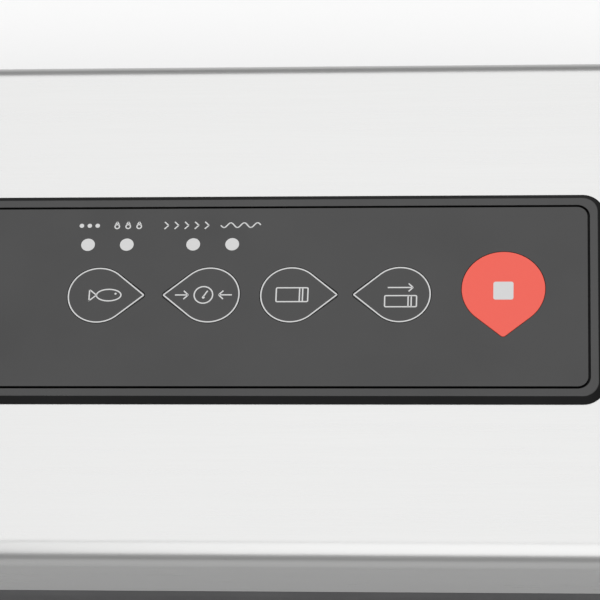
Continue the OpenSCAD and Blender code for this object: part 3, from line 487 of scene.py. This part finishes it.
# ---- Power board ----
# A glass-fibre board with a green mask over its tracks, a sealed relay, and a smoothing
# capacitor in a dark sleeve.
def board_material(name):
    """Green solder mask, lighter and raised over the tracks."""
    mat, nodes, link, shader = new_material(name)
    shader.inputs["Roughness"].default_value = 0.3
    place = nodes.new("ShaderNodeTexCoord").outputs["Object"]
    tracks = nodes.new("ShaderNodeTexBrick")
    tracks.inputs["Scale"].default_value = 160
    tracks.inputs["Mortar Size"].default_value = 0.06
    tracks.inputs["Color1"].default_value = (0.012, 0.1, 0.04, 1)
    tracks.inputs["Color2"].default_value = (0.016, 0.12, 0.05, 1)
    tracks.inputs["Mortar"].default_value = (0.04, 0.24, 0.1, 1)
    link(place, tracks.inputs["Vector"])
    link(tracks.outputs["Color"], shader.inputs["Base Color"])
    relief(nodes, link, shader, tracks.outputs["Fac"], 0.4, 0.04)
    return mat


board_green = board_material("green circuit board")
finish(["power_board", "control_board"], board_green)
softened("power_relay", "base", blue_nylon, 0.5)
sleeve = plastic("capacitor sleeve", (0.02, 0.02, 0.05), 0.25, 600, 0.01)
softened("smoothing_capacitor", "base", sleeve, 0.8, 3)

# ---- Mains inlet ----
# A black nylon figure-of-eight inlet, snapped into the back wall, with two bright brass
# pins moulded into it.
softened("mains_inlet", "base", black_nylon, 0.35)
finish(["inlet_pins"], metal("bright brass", (0.78, 0.6, 0.26), 0.15, 0.25, 700, 700, 0.004))

# ---- Latches ----
# White acetal sliders, and satin grey release buttons that stand out of the
# sides. A steel spring lies behind each slider; on the sealer it closes up as
# its button is pressed, but here it is a fixed coil.
pom_white = plastic("white acetal", (0.68, 0.68, 0.64), 0.35, 1200, 0.015, 0.03)
key_grey = plastic("satin key grey", (0.0045, 0.0045, 0.0047), 0.34, 5200, 0.012, 0.06, 0.44,
                   wear_and_highlight=0.2)
spring_wire = metal("drawn spring wire", (0.55, 0.55, 0.57), 0.2, 0.35, 800, 800, 0.005)
wire_r = 0.3 * mm
wire_sides = 10
spring_turns = 7
turn_steps = 24


def coil_spring(low, high):
    """A round wire wound along X between two corners of a box."""
    bm = bmesh.new()
    middle = (low + high) / 2
    start = Vector((low.x + wire_r, middle.y, high.z - wire_r))
    place = (Matrix.Translation(start) @ Matrix.Rotation(math.pi / 2, 4, "Y")
             @ Matrix.Rotation(math.pi / 2, 4, "X"))
    bmesh.ops.create_circle(bm, segments=wire_sides, radius=wire_r, matrix=place)
    steps = spring_turns * turn_steps
    rise = (high.x - low.x - 2 * wire_r) / steps
    bmesh.ops.spin(bm, geom=bm.verts[:] + bm.edges[:], cent=middle, axis=(1, 0, 0),
                   dvec=(rise, 0, 0), angle=spring_turns * math.tau, steps=steps,
                   use_merge=False)
    bmesh.ops.holes_fill(bm, edges=[e for e in bm.edges if e.is_boundary],
                         sides=wire_sides)
    return bm


for hand, fixed_end in (("left", 1), ("right", 0)):
    low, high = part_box(hand + "_latch_spring")
    spring = add_piece(coil_spring(low, high), hand + "_latch_coil", "base", spring_wire,
                       60)
    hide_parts(hand + "_latch_spring")
    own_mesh(spring)
    softened(hand + "_latch_slider", hand + "_latch", pom_white, 0.25)
    softened(hand + "_release_button", hand + "_latch", key_grey, 0.6, 3)

# ---- Lid frame, hooks and end caps ----
# The lid's black frame hangs on the hinge pins. Nylon hooks drop through its floor, and
# an end cap clips on at each side.
softened("lid_frame", "lid", black_abs, 0.35)
for hand in ("left", "right"):
    softened(hand + "_lid_hook", "lid", natural_nylon, 0.3)
    softened(hand + "_end_cap", "lid", black_abs, 0.6, 3)

# ---- Steel lid cover ----
# One stainless sheet, brushed along the width of the lid before it was bent down at the
# front and the back.
lid_steel = metal("brushed stainless", (0.37, 0.37, 0.368), 0.265, 0.32, 45, 2600, 0.014, 0.025)
softened("lid_cover", "lid", lid_steel, 0.25)

# ---- Upper seal and sealing pad ----
# A second foam ring meets the one in the base, and a red-brown silicone strip presses
# the bag on the heater.
softened("upper_gasket", "lid", foam, 0.8, 3)
pad = plastic("silicone pad", (0.2, 0.045, 0.03), 0.5, 700, 0.02, 0.08)
softened("sealing_pad", "lid", pad, 0.6, 3)

# ---- Panel bezel ----
# A satin frame moulded in dark grey, with a 45 degree slope outside, a narrow flat rim
# and a ledge inside that carries the fascia.
panel_grey = plastic("satin panel grey", (0.0045, 0.0045, 0.0047), 0.34, 5200, 0.012, 0.06, 0.44)
# The rim's edges are lightened strongly through the edge mask: a painted highlight along the
# bezel rim.
rim_grey_painted_highlight = plastic("satin bezel rim with painted highlight", (0.0045, 0.0045, 0.0047), 0.3, 5200, 0.012, 0.06, 0.45,
                   wear_and_highlight=0.9)
# A darker, duller copy of the bezel grey for the slopes and the faces under the rim: painted
# shade.
flank_grey_painted_shade = plastic("matte bezel flank with painted shade", (0.004, 0.004, 0.0042), 0.62, 2500, 0.03, 0.1, 0.15)


def loop_points(width, depth, radius, z, steps):
    """Points round a level rectangle with round corners."""
    points = []
    for corner, (x, y) in enumerate(((1, 1), (-1, 1), (-1, -1), (1, -1))):
        for step in range(steps + 1):
            angle = (corner + step / steps) * math.pi / 2
            points.append((x * (width / 2 - radius) + radius * math.cos(angle),
                           y * (depth / 2 - radius) + radius * math.sin(angle), z))
    return points


def moulded_ring(sections, steps=10):
    """A ring whose closed cross-section is given as (width, depth, corner radius, height)."""
    bm = bmesh.new()
    points = loop_points(*sections[0], steps)
    made = bmesh.ops.create_circle(bm, segments=len(points), radius=1)
    order = sorted(made["verts"], key=lambda v: math.atan2(v.co.y, v.co.x) % math.tau)
    for vert, point in zip(order, points):
        vert.co = point
    edges = bm.edges[:]
    for section in sections[1:] + sections[:1]:
        rank = {v.co[:]: i for i, v in enumerate(order)}
        grown = bmesh.ops.extrude_edge_only(bm, edges=edges)["geom"]
        order = sorted((g for g in grown if isinstance(g, bmesh.types.BMVert)),
                       key=lambda v: rank[v.co[:]])
        fresh = set(order)
        edges = [g for g in grown if isinstance(g, bmesh.types.BMEdge)
                 and set(g.verts) <= fresh]
        for vert, point in zip(order, loop_points(*section, steps)):
            vert.co = point
    bmesh.ops.remove_doubles(bm, verts=bm.verts, dist=0.001 * mm)
    return bm


steel_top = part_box("lid_cover")[1].z
panel_top = panel_high.z
panel_w = panel_high.x - panel_low.x
panel_d = panel_high.y - panel_low.y
slope = 2.2 * mm
rim_in = slope + 2.5 * mm
ledge_in = rim_in + 2.2 * mm
skirt_in = 4.3 * mm
ledge_z = panel_top - 1.6 * mm
skirt_z = steel_top - 6 * mm
flat_foot = 0.2 * mm
outer_edge_r = 0.35 * mm
inner_edge_r = 0.25 * mm
foot_r, rim_r, opening_r, ledge_r, skirt_r = 7, 5, 4.1, 1.9, 3.7
bezel_section = [(0, foot_r, steel_top), (0, foot_r, steel_top + flat_foot)]
for share in (0, 0.25, 0.5, 0.75, 1):
    tilt = math.radians(45 * (1 - share))
    bezel_section.append((slope + outer_edge_r * (0.3 - math.sin(tilt)), rim_r,
                          panel_top - outer_edge_r * (1 - math.cos(tilt))))
for share in (0, 0.5, 1):
    tilt = math.radians(90 * share)
    bezel_section.append((rim_in - inner_edge_r * (1 - math.sin(tilt)), opening_r,
                          panel_top - inner_edge_r * (1 - math.cos(tilt))))
bezel_section += [(rim_in, opening_r, ledge_z), (ledge_in, ledge_r, ledge_z),
                  (ledge_in, ledge_r, skirt_z), (skirt_in, skirt_r, skirt_z),
                  (skirt_in, skirt_r, steel_top)]
bezel = add_piece(moulded_ring([(panel_w - 2 * i, panel_d - 2 * i, r * mm, z)
                                for i, r, z in bezel_section]),
                  "bezel", "lid", rim_grey_painted_highlight, 25)
bezel.data.materials.append(flank_grey_painted_shade)
# Faces below the rim take the darker copy: painted shade on the bezel's slopes.
shaded_flank_depth = 0.3 * mm
for face in bezel.data.polygons:
    if face.center.z < panel_top - shaded_flank_depth:
        face.material_index = 1
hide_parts("panel_bezel")

# ---- Fascia, lenses and boards under it ----
# A flat moulding lies on the bezel's ledge, with openings for the keys and four round
# diffusing lenses over the lamps of the control board.
softened("panel_fascia", "lid", panel_grey, 0.12)
lens = plastic("diffusing lens", (0.425, 0.425, 0.425), 0.3, 3000, 0.004, 0.03)
finish(["light_pipes"], lens)
finish(["key_switches"], black_nylon)
finish(["status_leds"], plastic("clear lamp epoxy", (0.8, 0.8, 0.7), 0.1, 300, 0.002, 0.03))

# ---- Keys ----
# Flat teardrop caps level with the fascia, four in panel grey and a larger one in coral
# red for stop.
stop_red = plastic("coral red", (0.585, 0.067, 0.044), 0.42, 5200, 0.012, 0.03, 0.33)
keys = ("food_key", "pressure_key", "seal_key", "vacuum_key")
for key in keys:
    softened(key, key, key_grey, 0.12)
softened("stop_key", "stop_key", stop_red, 0.12)

# ---- Printing ----
# Outlines and signs screen printed in pale grey ink, on the key caps after moulding and
# on the fascia above the lenses.
ink = plastic("pale grey ink", (0.44, 0.44, 0.44), 0.5, 8000, 0.004, 0.02)
ink_t = 0.03 * mm
line = 0.42 * mm
cap_lap = 0.8 * mm
key_r = 10 * mm
outline_r = key_r - 0.1 * mm
outline_reach = 1.5 * key_r - 0.1 * mm
tip_r = 0.35 * mm


def teardrop_face(bm, r, reach, segments=96):
    """A round face drawn out along two tangents to a small round point towards +X."""
    made = bmesh.ops.create_circle(bm, cap_ends=True, segments=segments, radius=r)
    run = reach - tip_r
    open_angle = math.acos((r - tip_r) / run)
    for v in made["verts"]:
        angle = math.atan2(v.co.y, v.co.x)
        if abs(angle) >= open_angle:
            continue
        share = abs(angle) / open_angle
        side = math.copysign(1, angle)
        if share < 0.3:
            around = open_angle * share / 0.3
            v.co = (run + tip_r * math.cos(around), side * tip_r * math.sin(around), 0)
        else:
            normal = Vector((math.cos(open_angle), side * math.sin(open_angle), 0))
            v.co = (Vector((run, 0, 0)) + normal * tip_r).lerp(normal * r,
                                                               (share - 0.3) / 0.7)
    return made["verts"][0].link_faces[0]


def hollow_out(bm, face, width):
    """Leaves only a band of one width inside a face's edge."""
    bmesh.ops.inset_region(bm, faces=[face], thickness=width, use_even_offset=True,
                           use_boundary=True)
    bmesh.ops.delete(bm, geom=[face], context="FACES")


def oval(bm, at, w, h, width=None, segments=40):
    """A filled oval, or the outline of one."""
    made = bmesh.ops.create_circle(
        bm, cap_ends=True, segments=segments, radius=0.5,
        matrix=Matrix.Translation((*at, 0)) @ Matrix.Diagonal((w, h, 1, 1)))
    if width:
        hollow_out(bm, made["verts"][0].link_faces[0], width)


def box_sign(bm, at, w, h, radius, width=None):
    """A filled rectangle with round corners, or the outline of one."""
    points = loop_points(w, h, radius, 0, 5)
    made = bmesh.ops.create_circle(bm, cap_ends=True, segments=len(points), radius=1)
    order = sorted(made["verts"], key=lambda v: math.atan2(v.co.y, v.co.x) % math.tau)
    for vert, point in zip(order, points):
        vert.co = Vector(point) + Vector((*at, 0))
    if width:
        hollow_out(bm, order[0].link_faces[0], width)


def stroke(bm, start, end, width=line):
    """A straight line with square ends."""
    start = Vector(start)
    end = Vector(end)
    along = end - start
    place = (Matrix.Translation((*((start + end) / 2), 0))
             @ Matrix.Rotation(math.atan2(along.y, along.x), 4, "Z")
             @ Matrix.Diagonal((along.length, width, 1, 1)))
    bmesh.ops.create_grid(bm, x_segments=1, y_segments=1, size=0.5, matrix=place)


def chevron(bm, tip, size, width=line):
    """A > sign whose point is at tip."""
    x, y = tip
    stroke(bm, (x - size, y + size), (x, y), width)
    stroke(bm, (x - size, y - size), (x, y), width)


def printed(bm, name, body, centre, turn=0):
    """Thickens flat shapes to a film of ink and lays it on the panel."""
    grown = bmesh.ops.extrude_face_region(bm, geom=bm.faces[:])["geom"]
    bmesh.ops.translate(bm, vec=(0, 0, ink_t),
                        verts=[g for g in grown if isinstance(g, bmesh.types.BMVert)])
    bmesh.ops.rotate(bm, cent=(0, 0, 0), matrix=Matrix.Rotation(turn, 3, "Z"),
                     verts=bm.verts)
    bmesh.ops.translate(bm, vec=(*centre, panel_top), verts=bm.verts)
    return add_piece(bm, name, body, ink)


key_at = {}
for key, turn in zip(keys, (0, math.pi, 0, math.pi)):
    low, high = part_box(key)
    x = low.x + cap_lap + key_r if turn == 0 else high.x - cap_lap - key_r
    key_at[key] = (x, (low.y + high.y) / 2)
    bm = bmesh.new()
    hollow_out(bm, teardrop_face(bm, outline_r, outline_reach), line)
    printed(bm, key + "_outline", key, key_at[key], turn)

# food: a fish
bm = bmesh.new()
oval(bm, (0.8 * mm, 0), 8.4 * mm, 4.6 * mm, line)
oval(bm, (3.0 * mm, 0.5 * mm), 0.7 * mm, 0.7 * mm, None, 16)
stroke(bm, (-3.3 * mm, 0.1 * mm), (-5.6 * mm, 2.1 * mm))
stroke(bm, (-3.3 * mm, -0.1 * mm), (-5.6 * mm, -2.1 * mm))
stroke(bm, (-5.5 * mm, -2.2 * mm), (-5.5 * mm, 2.2 * mm))
printed(bm, "food_sign", "food_key", (key_at["food_key"][0] + 2.6 * mm,
                                      key_at["food_key"][1]))

# pressure: a gauge between two arrows that press on it
bm = bmesh.new()
oval(bm, (0, 0), 6.4 * mm, 6.4 * mm, line)
stroke(bm, (0, -0.6 * mm), (1.3 * mm, 1.5 * mm))
oval(bm, (0, -0.9 * mm), 0.9 * mm, 0.9 * mm, None, 16)
for side in (-1, 1):
    stroke(bm, (side * 9.2 * mm, 0), (side * 5.0 * mm, 0))
    stroke(bm, (side * 6.4 * mm, 1.5 * mm), (side * 4.9 * mm, 0))
    stroke(bm, (side * 6.4 * mm, -1.5 * mm), (side * 4.9 * mm, 0))
printed(bm, "pressure_sign", "pressure_key", (key_at["pressure_key"][0] - 1.8 * mm,
                                              key_at["pressure_key"][1]))

# seal: a bag with a double seam across it
bm = bmesh.new()
box_sign(bm, (0, 0), 10.6 * mm, 5.4 * mm, 0.6 * mm, line)
for x in (2.4, 3.4):
    stroke(bm, (x * mm, -2.3 * mm), (x * mm, 2.3 * mm))
printed(bm, "seal_sign", "seal_key", (key_at["seal_key"][0] + 0.35 * mm,
                                      key_at["seal_key"][1]))

# vacuum and seal: the same bag below an arrow that draws the air out
bm = bmesh.new()
box_sign(bm, (0, -2.4 * mm), 10.6 * mm, 4.4 * mm, 0.6 * mm, line)
for x in (2.4, 3.4):
    stroke(bm, (x * mm, -4.3 * mm), (x * mm, -0.5 * mm))
stroke(bm, (-4.2 * mm, 2.5 * mm), (3.6 * mm, 2.5 * mm))
chevron(bm, (3.9 * mm, 2.5 * mm), 1.4 * mm)
printed(bm, "vacuum_sign", "vacuum_key", (key_at["vacuum_key"][0] + 0.3 * mm,
                                          key_at["vacuum_key"][1]))

# stop: a square
low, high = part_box("stop_key")
top_to_sign = 14.795 * mm
stop_middle = ((low.x + high.x) / 2, high.y - top_to_sign)
bm = bmesh.new()
box_sign(bm, (0, 0), 6.4 * mm, 6.4 * mm, 0.7 * mm)
printed(bm, "stop_sign", "stop_key", stop_middle)

# food and pressure choices above the lenses: grains, drops, firm and gentle
low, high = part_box("light_pipes")
last_lens_x = high.x - 3.25 * mm
sign_y = (low.y + high.y) / 2 + 7 * mm
bm = bmesh.new()
for x in (-2.6, 0, 2.6):
    oval(bm, (x * mm, 0), 1.5 * mm, 1.5 * mm, None, 20)
printed(bm, "dry_sign", "lid", (last_lens_x - 47 * mm, sign_y))
bm = bmesh.new()
for x in (-3.6, 0, 3.6):
    oval(bm, (x * mm, -0.35 * mm), 1.9 * mm, 1.9 * mm, line, 20)
    stroke(bm, ((x - 0.62) * mm, 0.3 * mm), (x * mm, 1.4 * mm))
    stroke(bm, ((x + 0.62) * mm, 0.3 * mm), (x * mm, 1.4 * mm))
printed(bm, "moist_sign", "lid", (last_lens_x - 34.35 * mm, sign_y))
bm = bmesh.new()
for x in (-5.2, -1.9, 1.4, 4.7, 8.0):
    chevron(bm, (x * mm, 0), 1.3 * mm)
printed(bm, "normal_sign", "lid", (last_lens_x - 15.9 * mm, sign_y))
bm = bmesh.new()
wave_points = [(x / 2 * mm, 0.9 * mm * math.sin(x * 0.72)) for x in range(-13, 14)]
for start, end in zip(wave_points, wave_points[1:]):
    stroke(bm, start, end)
printed(bm, "gentle_sign", "lid", (last_lens_x + 2.5 * mm, sign_y))
